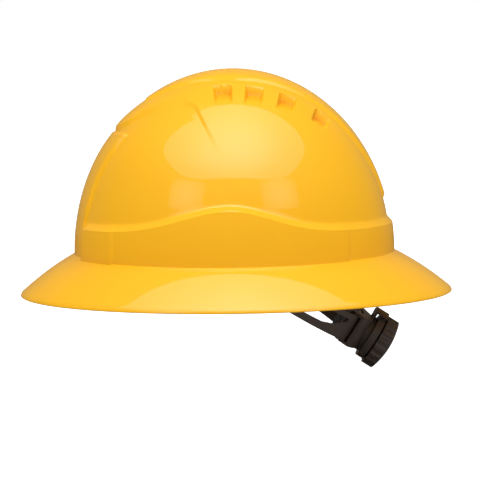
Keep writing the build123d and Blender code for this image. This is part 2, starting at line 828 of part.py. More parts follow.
# Knob, a scalloped cup with a domed face
knob_axis = Axis(pivot_point, u_dir)
with BuildPart() as knob:
    with BuildSketch(nape_side):
        with BuildLine():
            radius = knob_diameter / 2
            hub = spindle_diameter
            dome_sphere = (radius**2 + knob_dome**2) / knob_dome / 2
            dome_arc = RadiusArc((knob_face + knob_dome, 0), (knob_face, radius), -dome_sphere)
            Polyline(
                dome_arc @ 1,
                (knob_back, radius),
                (knob_back, radius - knob_wall * 1.5),
                (knob_face - knob_wall, radius - knob_wall * 1.5),
                (knob_face - knob_wall, hub),
                (knob_back, hub),
                (knob_back, 0),
                dome_arc @ 0,
            )
        make_face()
    revolve(axis=knob_axis)
    with BuildSketch(nape_back.offset(knob_back - overrun)):
        with PolarLocations(radius + knob_scallop * 0.6, knob_lobes):
            Circle(knob_scallop)
    extrude(amount=overrun * 3, mode=Mode.SUBTRACT)
    with BuildSketch(nape_back.offset(knob_back)):
        Circle(spindle_diameter / 2 + peg_clearance)
        Rectangle(spindle_diameter * 2, flats_across + peg_clearance * 2, mode=Mode.INTERSECT)
    extrude(amount=knob_skirt - knob_wall, mode=Mode.SUBTRACT)
    with BuildSketch(nape_back.offset(knob_back)):
        Circle(screw_diameter / 2 + peg_clearance)
    extrude(amount=overrun, mode=Mode.SUBTRACT)
    with BuildSketch(nape_back.offset(knob_face + knob_dome - screw_head_height)):
        Circle(screw_head_diameter / 2 + peg_clearance)
    extrude(amount=overrun, mode=Mode.SUBTRACT)

with BuildPart() as knob_screw:
    head_seat = knob_face + knob_dome - screw_head_height
    with BuildSketch(nape_back.offset(housing_face)):
        Circle(screw_diameter / 2)
    extrude(amount=head_seat - housing_face)
    with BuildSketch(nape_back.offset(head_seat)):
        Circle(screw_head_diameter / 2)
    extrude(amount=screw_head_height * 0.9)
    with BuildSketch(nape_back.offset(head_seat + screw_head_height * 0.4)):
        RegularPolygon(screw_diameter / 2, 6)
    extrude(amount=screw_head_height, mode=Mode.SUBTRACT)

# Pawl spring, between the collar and the knob's hub, its tips down in the click ring
pawl_thickness = knob_gap - pawl_clearance * 2
pawl_reach = click_tip - pawl_clearance
with BuildPart() as pawl_spring:
    with BuildSketch(nape_back.offset(collar_end + pawl_clearance)):
        Circle(spindle_diameter)
        with PolarLocations(pawl_reach / 2, 3):
            Rectangle(pawl_reach, spindle_diameter / 2)
        Circle(pawl_reach, mode=Mode.INTERSECT)
    extrude(amount=pawl_thickness)
    with BuildSketch(nape_back.offset(collar_end - click_ring_height * 0.8)):
        with PolarLocations(pawl_reach * 0.86, 3):
            Rectangle(pawl_reach * 0.2, spindle_diameter / 4)
    extrude(amount=click_ring_height * 0.8 + pawl_clearance)
    with BuildSketch(nape_back.offset(collar_end - click_ring_height)):
        Circle(spindle_diameter / 2 + peg_clearance)
    extrude(amount=overrun, mode=Mode.SUBTRACT)


def save(name, part):
    part.label = name
    export_step(part, f"parts/{name}.step")


os.makedirs("parts", exist_ok=True)
save("shell", shell.part)
save("crown_pad", crown_pad.part)
save("headband", headband.part)
save("brow_pad", brow_pad.part)
for name, turn in zip(key_names, key_turns):
    save(f"{name}_key", strap_key(turn))
save("upper_crown_strap", crown_strap(key_turns[0], 0))
save("lower_crown_strap", crown_strap(key_turns[1], strap_thickness + strap_layer_gap))
for name, side in (("left", 1), ("right", -1)):
    save(f"{name}_nape_arm", nape_arm(side, side))
    save(f"{name}_pivot_button", pivot_button(side))
save("ratchet_housing", ratchet_housing.part)
save("back_plate", back_plate.part)
save("nape_pad", nape_pad.part)
save("click_ring", click_ring.part)
save("drive_pinion", drive_pinion.part)
save("pawl_spring", pawl_spring.part)
save("knob", knob.part)
save("knob_screw", knob_screw.part)
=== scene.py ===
# %% [markdown]
# # A full brim hard hat, dressed over its CAD frame
# The frame brings every rigid piece at its true place and size. Blender adds what the eye judges: the soft
# edges and gloss of the moulded shell, the webbing, the foam pads, and the grain of each plastic.

# %% Load the frame
import json
from math import asin, atan2, cos, radians, sin, sqrt

import bmesh
import bpy
import numpy as np
from mathutils import Matrix, Vector


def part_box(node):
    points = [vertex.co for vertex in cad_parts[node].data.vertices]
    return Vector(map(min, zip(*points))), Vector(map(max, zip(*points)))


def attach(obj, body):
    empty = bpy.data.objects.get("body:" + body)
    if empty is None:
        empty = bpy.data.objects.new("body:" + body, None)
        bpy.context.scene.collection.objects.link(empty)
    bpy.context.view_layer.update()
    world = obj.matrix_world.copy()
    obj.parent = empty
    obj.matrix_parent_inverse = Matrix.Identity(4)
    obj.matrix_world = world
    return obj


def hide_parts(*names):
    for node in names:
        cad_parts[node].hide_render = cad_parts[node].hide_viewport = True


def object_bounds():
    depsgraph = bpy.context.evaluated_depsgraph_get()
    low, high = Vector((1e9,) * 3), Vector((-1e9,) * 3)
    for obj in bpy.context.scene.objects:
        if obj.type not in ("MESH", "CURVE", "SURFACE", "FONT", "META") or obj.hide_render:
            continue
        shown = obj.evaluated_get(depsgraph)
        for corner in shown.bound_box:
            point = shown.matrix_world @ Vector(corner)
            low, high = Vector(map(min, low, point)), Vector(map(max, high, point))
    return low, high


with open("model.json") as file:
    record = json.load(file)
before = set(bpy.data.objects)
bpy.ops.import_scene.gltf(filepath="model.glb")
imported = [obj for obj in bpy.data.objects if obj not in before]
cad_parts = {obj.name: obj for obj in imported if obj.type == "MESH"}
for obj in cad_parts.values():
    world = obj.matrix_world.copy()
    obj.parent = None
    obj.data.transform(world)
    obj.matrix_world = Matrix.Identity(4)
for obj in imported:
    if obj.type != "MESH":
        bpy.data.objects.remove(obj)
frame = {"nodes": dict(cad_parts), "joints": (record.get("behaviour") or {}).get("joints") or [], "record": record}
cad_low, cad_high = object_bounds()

# %% [markdown]
# ## The camera comes first
# The photograph looks at the wearer's left side from a little above the brim and about two metres away, so the
# near side of the brim looks slightly larger than the far side. A long lens at that distance gives this. The
# picture also leans by less than a degree, so the camera is rolled by the same amount.

# %% Camera
mm = 0.001
sensor_width = 36.0
frame_pixels = 480
pixels_per_mm = 1.306
camera_distance = 2.0
camera_elevation = radians(5.5)
camera_roll = radians(0.8)
camera_target = Vector((0, 3.4 * mm, 25 * mm))


def add_object(name, data):
    """An object that shows the given data, linked into the scene."""
    thing = bpy.data.objects.new(name, data)
    bpy.context.scene.collection.objects.link(thing)
    return thing


camera = add_object("camera", bpy.data.cameras.new("camera"))
bpy.context.scene.camera = camera
camera.data.sensor_width = sensor_width
camera.data.lens = sensor_width * pixels_per_mm / mm * camera_distance / frame_pixels
towards_camera = Vector((cos(camera_elevation), 0, sin(camera_elevation)))
camera.location = camera_target + towards_camera * camera_distance
upright = (-towards_camera).to_track_quat("-Z", "Y").to_matrix().to_4x4()
camera.matrix_world = Matrix.Translation(camera.location) @ upright @ Matrix.Rotation(-camera_roll, 4, "Z")
print("lens", round(camera.data.lens, 1), "mm")

# %% [markdown]
# ## Small helpers for surfaces on a grid
# Most pieces here are a sheet of points, row by row. Joining each point to its neighbours gives four-sided
# faces, and a row whose points all meet gets a fan. One helper makes the faces and another makes the object,
# so that each piece below is only about its own shape.

# %% Helpers for grids and meshes
def smooth_step(distance, width):
    """0 well below zero and 1 well above it, with an S between them: t squared times (3 - 2t), t from 0 to 1."""
    t = np.clip(distance / width + 0.5, 0, 1)
    return t * t * (3 - 2 * t)


def on_circle(turns):
    """The flat direction at each turn: its cosine and its sine."""
    return np.stack([np.cos(turns), np.sin(turns)], axis=-1)


def bulge(values, power):
    """Each value to a power, with its sign kept: a power below one makes a round section squarer."""
    return np.sign(values) * np.abs(values) ** power


def lengths_along(path):
    """The length of a path from its start to each of its points."""
    return np.concatenate([[0], np.cumsum(np.linalg.norm(np.diff(path, axis=0), axis=1))])


def grid_faces(rows, columns):
    """The quads that join each point to its neighbours in the next column and row; the last column joins the first."""
    r = np.arange(rows - 1)[:, None]
    c = np.arange(columns)[None, :]
    beside = (c + 1) % columns
    corners = [r * columns + c, r * columns + beside, (r + 1) * columns + beside, (r + 1) * columns + c]
    return np.stack(corners, axis=-1).reshape(-1, 4)


def fan(pole, start, count, forward=True):
    """Triangles that join one point to each pair of neighbours on the closed row of points that begins at start."""
    here = start + np.arange(count)
    beside = np.roll(here, -1)
    pairs = zip(here, beside) if forward else zip(beside, here)
    return [(pole, int(a), int(b)) for a, b in pairs]


def add_piece(name, material, body, slot, stands_for, sharp_degrees, points, faces, uv=None):
    """Makes a mesh object at the origin from points in metres, parents it to its body's empty, and hides the CAD parts
    it stands for.
    """
    mesh = bpy.data.meshes.new(name)
    mesh.from_pydata(points.reshape(-1, 3).tolist(), [], [tuple(face) for face in faces])
    mesh.validate()
    if uv is not None:
        layer = mesh.uv_layers.new(name="UVMap")
        corners = np.empty(len(mesh.loops), dtype=np.int32)
        mesh.loops.foreach_get("vertex_index", corners)
        layer.data.foreach_set("uv", uv.reshape(-1, 2)[corners].astype(np.float32).ravel())
    mesh.shade_smooth()
    mesh.set_sharp_from_angle(angle=radians(sharp_degrees))
    mesh.materials.append(material)
    piece = add_object(name, mesh)
    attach(piece, body)
    if stands_for:
        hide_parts(*stands_for)
    print(name, len(mesh.vertices), "points", len(mesh.polygons), "faces")
    return piece


print("a grid of 3 rows and 4 columns has", len(grid_faces(3, 4)), "faces")

# %% [markdown]
# ## Grain and handling marks, shared by the plastics
# Moulded plastic is never perfectly even: the tool leaves a fine grain, and handling leaves a faint change in
# gloss. Both are noise at different scales. They are built once as node groups, with the scale and the depth as
# inputs, and each material places them with its own values.

# %% Node groups
def new_group(name, inputs, outputs):
    """An empty shader node group with named float inputs and named outputs of the given socket types."""
    group = bpy.data.node_groups.new(name, "ShaderNodeTree")
    for label, value in inputs.items():
        group.interface.new_socket(label, in_out="INPUT", socket_type="NodeSocketFloat").default_value = value
    for label, kind in outputs.items():
        group.interface.new_socket(label, in_out="OUTPUT", socket_type=kind)
    return group, group.nodes.new("NodeGroupInput"), group.nodes.new("NodeGroupOutput")


def set_inputs(node, values):
    """Sets the plain values of a node's inputs, by their names or numbers."""
    for label, value in values.items():
        node.inputs[label].default_value = value


def add_node(tree, kind, values={}, **settings):
    """A node of that kind, with the values of its inputs and its plain properties set."""
    node = tree.nodes.new(kind)
    for label, value in settings.items():
        setattr(node, label, value)
    set_inputs(node, values)
    return node


def moulded_grain():
    """Fine noise as a height for a bump, and slow noise as a change of gloss and of shade."""
    group, given, result = new_group(
        "moulded_grain",
        {"Grain Size": 900.0, "Patch Size": 25.0, "Roughness": 0.3, "Roughness Change": 0.08},
        {"Height": "NodeSocketFloat", "Roughness": "NodeSocketFloat", "Shade": "NodeSocketFloat"},
    )
    place = add_node(group, "ShaderNodeTexCoord")
    fine = add_node(group, "ShaderNodeTexNoise", {"Detail": 3.0})
    slow = add_node(group, "ShaderNodeTexNoise", {"Detail": 4.0})
    middle = add_node(group, "ShaderNodeMath", {1: 0.5}, operation="SUBTRACT")
    change = add_node(group, "ShaderNodeMath", operation="MULTIPLY_ADD")
    link = group.links.new
    for noise, scale in ((fine, "Grain Size"), (slow, "Patch Size")):
        link(place.outputs["Object"], noise.inputs["Vector"])
        link(given.outputs[scale], noise.inputs["Scale"])
    link(slow.outputs["Fac"], middle.inputs[0])
    link(middle.outputs[0], change.inputs[0])
    link(given.outputs["Roughness Change"], change.inputs[1])
    link(given.outputs["Roughness"], change.inputs[2])
    link(fine.outputs["Fac"], result.inputs["Height"])
    link(change.outputs[0], result.inputs["Roughness"])
    link(slow.outputs["Fac"], result.inputs["Shade"])
    return group


grain_group = moulded_grain()
print("groups:", [group.name for group in bpy.data.node_groups])

# %% [markdown]
# ## The plastics
# The shell is a glossy amber yellow all through, so its colour barely changes and its gloss does the work: a low
# roughness with a clear coat shows the studio's lamps as crisp shapes. The nape parts are a satin, nearly black
# brown. The headband and its keys are a cooler dark grey, and the gears are pale natural plastic.

# %% Plastic materials
shell_coat = 0.55


def new_material(name):
    """A material with its node tree, its Principled shader, and the call that links two of its sockets."""
    material = bpy.data.materials.new(name)
    material.use_nodes = True
    tree = material.node_tree
    return material, tree, tree.nodes["Principled BSDF"], tree.links.new


def plastic(name, colour, shade_colour, roughness, roughness_change, grain_size, grain_depth, coat=0.0, specular=0.5):
    """A Principled plastic: its colour drifts between two shades, and the grain group gives gloss and bump."""
    material, tree, shader, link = new_material(name)
    grain = add_node(tree, "ShaderNodeGroup", node_tree=grain_group)
    set_inputs(grain, {"Grain Size": grain_size, "Roughness": roughness, "Roughness Change": roughness_change})
    drift = add_node(tree, "ShaderNodeMix", {"A": (*colour, 1), "B": (*shade_colour, 1)}, data_type="RGBA")
    bump = add_node(tree, "ShaderNodeBump", {"Distance": grain_depth, "Strength": 0.6})
    link(grain.outputs["Shade"], drift.inputs["Factor"])
    link(drift.outputs["Result"], shader.inputs["Base Color"])
    link(grain.outputs["Roughness"], shader.inputs["Roughness"])
    link(grain.outputs["Height"], bump.inputs["Height"])
    link(bump.outputs["Normal"], shader.inputs["Normal"])
    set_inputs(shader, {"Specular IOR Level": specular, "Coat Weight": coat, "Coat Roughness": 0.02})
    return material


amber = plastic(
    "amber_shell_plastic", (0.96, 0.485, 0.009), (0.94, 0.465, 0.008), 0.50, 0.06, 260.0, 0.01 * mm, shell_coat, 0.1
)
nape_black = plastic("nape_plastic", (0.085, 0.064, 0.054), (0.10, 0.077, 0.066), 0.42, 0.16, 1400.0, 0.05 * mm)
band_grey = plastic("band_plastic", (0.040, 0.040, 0.043), (0.055, 0.055, 0.058), 0.48, 0.14, 1200.0, 0.05 * mm)
gear_cream = plastic("gear_plastic", (0.55, 0.52, 0.44), (0.60, 0.57, 0.50), 0.38, 0.10, 1000.0, 0.03 * mm)
print("plastics:", amber.name, nape_black.name, band_grey.name, gear_cream.name)

# %% [markdown]
# ## The shell's shape
# The shell is one injection moulding. Its crown is close to half an ellipsoid, and what gives it character is
# laid on that: a centre crest, a front tier and panel, and a band round the foot whose top edge rises in a wave
# at each side. Each of them is a height above the ellipsoid, so the crown can be one grid of points pushed out
# along its own normals. The highest of the heights wins at each point, as it does when solids are joined.

# %% Sizes of the shell
crown_size = np.array([104.0, 119.5, 136.4]) * mm
rim_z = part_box("shell")[0].z
foot_height = 33.0 * mm
foot_z = rim_z + foot_height
crown_middle = np.array([0, -1.5 * mm, foot_z])
shell_wall = 2.5 * mm
rim_size = np.array([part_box("shell")[1].x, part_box("shell")[1].y])
rim_edge = 2.0 * mm
rim_round = 0.9 * mm

crest_grow = np.array([3.0, 2.0, 2.0]) * mm
crest_front = -66.5 * mm
crest_tail = 73 * mm
crest_soft = {"side": 5 * mm, "front": 2.5 * mm, "tail": 3 * mm}
crest_edge = {
    "y": np.array([-72, -46, -20, 7, 35, 65, 84, 95, 103, 109, 113]) * mm,
    "half_width": np.array([11, 20, 27, 30, 28, 24, 21.5, 19, 15.5, 11.5, 9]) * mm,
}
tier_grow = np.array([0, 6.5, -1.4]) * mm
tier_soft = 2.4 * mm
tier_line = {
    "y": np.array([-119, -90, -67, -52, -37, -28, -12, -6]) * mm,
    "height": np.array([119, 125, 140, 146, 149, 145, 114, 100]) * mm,
}
dish_depth = 1.5 * mm
dish_fade = {"from": 100 * mm, "over": 38 * mm}
dish_soft = {"y": np.array([-45, -30]) * mm, "width": np.array([8, 4]) * mm}
panel_half_width = 36 * mm
panel_proud = 2.3 * mm
panel_top = 124 * mm
panel_soft = {"side": 1.6 * mm, "top": 3 * mm}

band_side_proud = 4.2 * mm
band_proud = {"front": 5.4 * mm, "rear": 3.4 * mm}
band_end = {"front": -88.0 * mm, "rear": 81.5 * mm}
band_end_soft = 2.0 * mm
band_meets_panel = {"past": 3 * mm, "over": 4 * mm}
band_shoulder = 6.0 * mm
shoulder_bend = 0.3
wave_low = 58.9 * mm
wave_rise = 16.8 * mm
wave_middle = -4.0 * mm
wave_half_length = {"front": 50 * mm, "rear": 44 * mm}


# %% Heights laid on the crown
def band_wave(y):
    """Height of the band's top edge above the rim: a low level plus a rise times a bell curve, one over the ear."""
    half_length = np.where(y < wave_middle, wave_half_length["front"], wave_half_length["rear"])
    return wave_low + wave_rise * np.exp(-(((y - wave_middle) / half_length) ** 2))


def shoulder_slope(t):
    """The shoulder's rise from 0 to 1: a parabola through the bend at its top, and a straight slope from there on."""
    bend = shoulder_bend
    return np.where(t < bend, t * t / (2 * bend), t - bend / 2) / (1 - bend / 2)


def band_height(x, y, height):
    """The band stands proud under its wave with a sloped shoulder, steps at its ends, and meets the panel level."""
    before, behind = smooth_step(band_end["front"] - y, band_end_soft), smooth_step(y - band_end["rear"], band_end_soft)
    end_proud = np.where(y < 0, band_proud["front"], band_proud["rear"])
    proud = band_side_proud + (end_proud - band_side_proud) * np.maximum(before, behind)
    by_panel = smooth_step(panel_half_width + band_meets_panel["past"] - np.abs(x), band_meets_panel["over"]) * (y < 0)
    proud = proud + (panel_proud - proud) * by_panel
    return proud * shoulder_slope(np.clip((band_wave(y) - height) / band_shoulder, 0, 1))


def crest_height(share, normal, x, y, height):
    """The crest is a flat-topped rib along the middle, widest at the top, that narrows towards its front and tail."""
    half_width = np.interp(y, crest_edge["y"], crest_edge["half_width"])
    across = smooth_step(half_width - np.abs(x), crest_soft["side"])
    front = smooth_step(y - crest_front, crest_soft["front"])
    tail = smooth_step(height - crest_tail, crest_soft["tail"])
    return (share * normal * crest_grow).sum(axis=-1) * across * front * tail


def above_tier_line(y, height):
    """How far a point is above the tier's lower edge, whose height is read between the points of its table."""
    return height - np.interp(y, tier_line["y"], tier_line["height"])


def tier_height(share, normal, y, height):
    """The tier is a slightly longer, lower ellipsoid: each half axis changes by so much times its share and normal."""
    rise = (share * normal * tier_grow).sum(axis=-1)
    return np.maximum(rise, 0) * smooth_step(above_tier_line(y, height), tier_soft) * (y < 0)


def dish_depth_at(y, height):
    """Under the tier's line the crown is slightly sunk, and that fades with the square of the way down."""
    fade = np.clip((height - dish_fade["from"]) / dish_fade["over"], 0, 1) ** 2
    softness = np.interp(y, dish_soft["y"], dish_soft["width"])
    return dish_depth * fade * smooth_step(-above_tier_line(y, height), softness) * (y < 0)


def panel_height(x, y, height):
    """The front panel is a shallow plate with straight sides and a top edge under the tier."""
    sides = smooth_step(panel_half_width - np.abs(x), panel_soft["side"])
    top = smooth_step(panel_top - height, panel_soft["top"])
    return panel_proud * sides * top * (y < 0)


print("band at the ear", round(float(band_wave(np.array(wave_middle))) / mm, 1), "mm above the rim")

# %% [markdown]
# ## The recesses beside the crest
# Each side of the crest has four square recesses. A steep wall stands by the crest, and the floor is a straight
# ramp that runs out to meet the crown. They follow each other round a line across the hat, so each point's
# angle about that line says which recess it belongs to.

# %% Recesses
recess_turns = np.radians([-3.0, 8.0, 19.9, 33.5])
recess_inner = np.array([38, 38, 36, 31]) * mm
recess_outer = np.array([57, 57, 54, 47]) * mm
recess_half_width = 6.2 * mm
recess_depth = 6.5 * mm
recess_soft = 1.8 * mm


def reach_at(across, turn):
    """Distance from the crown's cross line to its surface: the ellipse's radius at that turn, less to the side."""
    side = np.sqrt(np.maximum(1 - (across / crown_size[0]) ** 2, 0))
    return side / np.sqrt((np.sin(turn) / crown_size[1]) ** 2 + (np.cos(turn) / crown_size[2]) ** 2)


def recess_drop(points, grow, wider, soft):
    """How far each point sinks towards the cross line, to the ramp of its recess, and that as a share of the depth."""
    across = np.abs(points[..., 0])
    out = points - crown_middle
    turn = np.arctan2(out[..., 1], out[..., 2])
    number = np.abs(turn[..., None] - recess_turns).argmin(axis=-1)
    middle = recess_turns[number]
    reach = np.hypot(out[..., 1], out[..., 2])
    off = np.abs(reach * np.sin(turn - middle))
    inner, outer = recess_inner[number], recess_outer[number]
    start = reach_at(inner, middle) - recess_depth
    end = reach_at(outer, middle)
    along = (across - inner) / (outer - inner)
    ramp = start + (end - start) * along + grow
    inside = smooth_step(recess_half_width + wider - off, soft) * smooth_step(across - inner + wider, soft)
    depth = np.maximum(reach - ramp, 0) * inside * (across < outer + wider)
    direction = np.stack([np.zeros_like(turn), np.sin(turn), np.cos(turn)], axis=-1)
    return direction * depth[..., None], depth / recess_depth


print("recesses every", np.diff(reach_at(recess_inner, recess_turns) * recess_turns / mm).round(1), "mm")

# %% [markdown]
# ## One closed grid for the whole moulding
# Going down a line from the top of the crown, over the brim, round its edge and back up inside to the top gives
# a closed loop. A ring of such lines is the whole moulding, inside and out, with two poles that fans close. The
# lines are closest together where the recesses and the wave need it.

# %% Rows of the shell
columns = 448
ring = on_circle(np.linspace(0, 2 * np.pi, columns, endpoint=False))


def crown_grid(down, grow):
    """Points of the ellipsoid at angles down from the top and round it, with their shares and unit normals."""
    down = np.broadcast_to(down, (len(down), columns))
    share = np.stack([np.sin(down) * ring[:, 0], np.sin(down) * ring[:, 1], np.cos(down)], axis=-1)
    size = crown_size + grow
    normal = share / size
    normal = normal / np.linalg.norm(normal, axis=-1, keepdims=True)
    return crown_middle + share * size, share, normal


def wave_down(lower):
    """For each column, the angle down from the top where the crown crosses the wave less lower, by repeated trial."""
    down = np.full(columns, np.radians(75))
    for _ in range(12):
        y = crown_middle[1] + crown_size[1] * np.sin(down) * ring[:, 1]
        down = np.arccos((band_wave(y) - lower - foot_height) / crown_size[2])
    return down


def rows_between(start, end, count):
    """Angles that lead evenly from one row to another, without the last, for every column."""
    down = start + (end - start) * np.linspace(0, 1, count, endpoint=False)[:, None]
    return np.broadcast_to(down, (count, columns))


def outer_crown(down):
    """The crown pushed out by the highest of its crest, tier, panel and band, then sunk at the dish and recesses."""
    points, share, normal = crown_grid(down, 0)
    x, y, height = points[..., 0], points[..., 1], points[..., 2] - rim_z
    crest, tier = crest_height(share, normal, x, y, height), tier_height(share, normal, y, height)
    raised = np.maximum.reduce([crest, tier, panel_height(x, y, height), band_height(x, y, height)])
    raised = raised - dish_depth_at(y, height)
    drop, sunk = recess_drop(points, 0, 0, recess_soft)
    return points + normal * raised[..., None] - drop, sunk


shoulder_crease = 0.5 * mm
near_top, near_recesses, past_recesses, foot_down = np.radians([1.5, 17.4, 50, 90])
wave_top, wave_edge, under_edge = [wave_down(lower) for lower in (0, band_shoulder, band_shoulder + shoulder_crease)]
crown_stops = [near_top, near_recesses, past_recesses, wave_top, wave_edge, under_edge, foot_down]
crown_counts = [10, 84, 22, 9, 1, 16]
crown_downs = [rows_between(*stops) for stops in zip(crown_stops, crown_stops[1:], crown_counts)]
crown_rows, sunk = outer_crown(np.concatenate([*crown_downs, np.full((1, columns), foot_down)]))
print("crown rows", crown_rows.shape)

# %% Rows of the brim
brim_bow = 0.28
brim_steps = 16
under_inset = 4.2 * mm
under_steps = 8
edge_turns = np.radians([30, 0, -35, -90])


def brim_drop(out):
    """The brim's fall from the foot to the rim against its reach: nearly straight, a little rounded."""
    return out + brim_bow * out * (out - 1)


def brim_row(out, inset, height):
    """An ellipse between the crown's foot and the rim, out of the way to it, pulled in by inset."""
    half = crown_size[:2] + (rim_size - crown_size[:2]) * out[..., None] - inset
    middle = crown_middle[:2] * (1 - out[..., None])
    flat = middle + half * ring
    return np.concatenate([flat, np.broadcast_to(rim_z + height, out.shape)[..., None]], axis=-1)


foot_reach = np.linalg.norm(crown_rows[-1][:, :2] - crown_middle[:2], axis=-1)
bare_reach = np.linalg.norm(crown_size[:2] * ring, axis=-1)
full_reach = np.linalg.norm(rim_size * ring, axis=-1)
start_out = (foot_reach - bare_reach) / (full_reach - bare_reach)
edge_share = 1 - rim_round / (rim_size[1] - crown_size[1])
top_outs = (start_out + (1 - start_out) * np.linspace(0, 1, brim_steps)[:, None]) * edge_share
top_heights = rim_edge + (foot_height - rim_edge) * (1 - brim_drop(top_outs))
brim_top = np.stack([brim_row(out, 0, height) for out, height in zip(top_outs, top_heights)])

whole = np.ones(columns)
brim_edge = np.stack([brim_row(whole, rim_round * (1 - cos(turn)), rim_round * (1 + sin(turn))) for turn in edge_turns])
under_outs = np.linspace(1, 0, under_steps)
brim_under = np.stack([brim_row(whole * out, under_inset, foot_height * (1 - brim_drop(out))) for out in under_outs])
print("brim rows", len(brim_top) + len(brim_edge) + len(brim_under))

# %% Inside of the crown, and the finished shell
inner_wider = 2.6 * mm
inner_soft = 2.0 * mm
inner_downs = np.radians(np.interp(np.arange(48), [0, 10, 43, 47], [90, 55, 15, 1.5]))
inner_rows, _, _ = crown_grid(inner_downs[:, None], -shell_wall)
inner_rows = inner_rows - recess_drop(inner_rows, -shell_wall, inner_wider, inner_soft)[0]
shell_rows = np.concatenate([crown_rows, brim_top, brim_edge, brim_under, inner_rows])
row_count = len(shell_rows)
poles = np.array([crown_rows[0].mean(axis=0), inner_rows[-1].mean(axis=0)])
shell_points = np.concatenate([shell_rows.reshape(-1, 3), poles])
top_pole, under_pole = row_count * columns, row_count * columns + 1
shell_faces = grid_faces(row_count, columns)[:, ::-1].tolist()
shell_faces += fan(top_pole, 0, columns)
shell_faces += fan(under_pole, top_pole - columns, columns, forward=False)
shell = add_piece("shell_moulding", amber, "root", "shell_plastic", ["shell"], 30.0, shell_points, shell_faces)

# %% [markdown]
# ## Dull floors and painted shade in the recesses
# The mould's gloss is best where it can be polished, so the floors of the small recesses are duller. The shell's
# points know how far they are sunk, and they carry that as an attribute. The amber plastic reads it: where a point
# is sunk, the coat fades, and the colour goes to a deeper amber as painted shade, darkest where the recess is deepest.

# %% Depth of the recesses as an attribute, read for the coat and the painted shade
# painted shade: the recess floors are darkened towards this deeper amber, the more the deeper they are sunk
painted_shade_amber = (0.86, 0.37, 0.007, 1)
pocket_coat = 0.05
dull_by = 0.25
painted_shade_from = 0.35

sunk_points = np.zeros(len(shell_points), dtype=np.float32)
sunk_points[: sunk.size] = sunk.ravel()
shell.data.attributes.new("sunk", "FLOAT", "POINT").data.foreach_set("value", sunk_points)

tree = amber.node_tree
link = tree.links.new
amber_shader = tree.nodes["Principled BSDF"]
depth = add_node(tree, "ShaderNodeAttribute", attribute_name="sunk")
gloss = add_node(tree, "ShaderNodeMapRange", {"From Max": dull_by, "To Min": shell_coat, "To Max": pocket_coat})
# painted shade: the base colour is mixed towards the deeper amber by how far a point is sunk
painted_shade_ramp = add_node(tree, "ShaderNodeMapRange", {"From Min": painted_shade_from})
pocket = add_node(tree, "ShaderNodeMix", {"B": painted_shade_amber}, data_type="RGBA")
link(depth.outputs["Fac"], gloss.inputs["Value"])
link(gloss.outputs["Result"], amber_shader.inputs["Coat Weight"])
link(depth.outputs["Fac"], painted_shade_ramp.inputs["Value"])
link(painted_shade_ramp.outputs["Result"], pocket.inputs["Factor"])
link(amber_shader.inputs["Base Color"].links[0].from_socket, pocket.inputs["A"])
link(pocket.outputs["Result"], amber_shader.inputs["Base Color"])
print("deepest recess", round(float(sunk.max()) * recess_depth / mm, 1), "mm")

# %% [markdown]
# ## Woven and metal finishes
# Webbing and the pads' covers are plain weaves: threads pass over and under each other like a chessboard. One
# group makes that from a piece's own UV map, which is laid out in metres, so its only input is the thread's
# size. The knob's screw is zinc plated, and fine noise makes its sheen uneven.

# %% Woven and metal materials
def plain_weave():
    """Threads as half sine waves, crosswise where the two sines have one sign and lengthwise elsewhere."""
    group, given, result = new_group("plain_weave", {"Threads per Metre": 900.0}, {"Height": "NodeSocketFloat"})
    place = add_node(group, "ShaderNodeTexCoord")
    turn = add_node(group, "ShaderNodeVectorMath", operation="SCALE")
    split = add_node(group, "ShaderNodeSeparateXYZ")
    both = add_node(group, "ShaderNodeMath", operation="MULTIPLY")
    over = add_node(group, "ShaderNodeMath", {1: 0.0}, operation="GREATER_THAN")
    pick = add_node(group, "ShaderNodeMix", data_type="FLOAT")
    half_turn = add_node(group, "ShaderNodeMath", {1: np.pi}, operation="MULTIPLY")
    link = group.links.new
    for axis, number, choice in (("X", 0, "A"), ("Y", 1, "B")):
        wave = add_node(group, "ShaderNodeMath", operation="SINE")
        ridge = add_node(group, "ShaderNodeMath", operation="ABSOLUTE")
        link(split.outputs[axis], wave.inputs[0])
        link(wave.outputs[0], ridge.inputs[0])
        link(wave.outputs[0], both.inputs[number])
        link(ridge.outputs[0], pick.inputs[choice])
    link(place.outputs["UV"], turn.inputs[0])
    link(given.outputs["Threads per Metre"], half_turn.inputs[0])
    link(half_turn.outputs[0], turn.inputs["Scale"])
    link(turn.outputs["Vector"], split.inputs[0])
    link(both.outputs[0], over.inputs[0])
    link(over.outputs[0], pick.inputs["Factor"])
    link(pick.outputs["Result"], result.inputs["Height"])
    return group


weave_group = plain_weave()


def cloth(name, shaded_valley_colour, thread_colour, threads_per_metre, depth, sheen):
    """A woven cover: painted shade darkens the valleys between threads, and a little sheen lies on them at a glancing
    angle.
    """
    material, tree, shader, link = new_material(name)
    weave = add_node(tree, "ShaderNodeGroup", {"Threads per Metre": threads_per_metre}, node_tree=weave_group)
    valley_shade = add_node(tree, "ShaderNodeMix", {"A": (*shaded_valley_colour, 1), "B": (*thread_colour, 1)}, data_type="RGBA")
    bump = add_node(tree, "ShaderNodeBump", {"Distance": depth})
    link(weave.outputs["Height"], valley_shade.inputs["Factor"])
    link(valley_shade.outputs["Result"], shader.inputs["Base Color"])
    link(weave.outputs["Height"], bump.inputs["Height"])
    link(bump.outputs["Normal"], shader.inputs["Normal"])
    set_inputs(shader, {"Roughness": 0.85, "Sheen Weight": sheen})
    return material


def zinc():
    """Plated steel: a pale metal, with fine noise as a change of roughness between two levels."""
    material, tree, shader, link = new_material("zinc_plated_steel")
    set_inputs(shader, {"Base Color": (0.62, 0.62, 0.60, 1), "Metallic": 1.0})
    place = add_node(tree, "ShaderNodeTexCoord")
    noise = add_node(tree, "ShaderNodeTexNoise", {"Scale": 700.0})
    span = add_node(tree, "ShaderNodeMapRange", {"To Min": 0.25, "To Max": 0.45})
    link(place.outputs["Object"], noise.inputs["Vector"])
    link(noise.outputs["Fac"], span.inputs["Value"])
    link(span.outputs["Result"], shader.inputs["Roughness"])
    return material
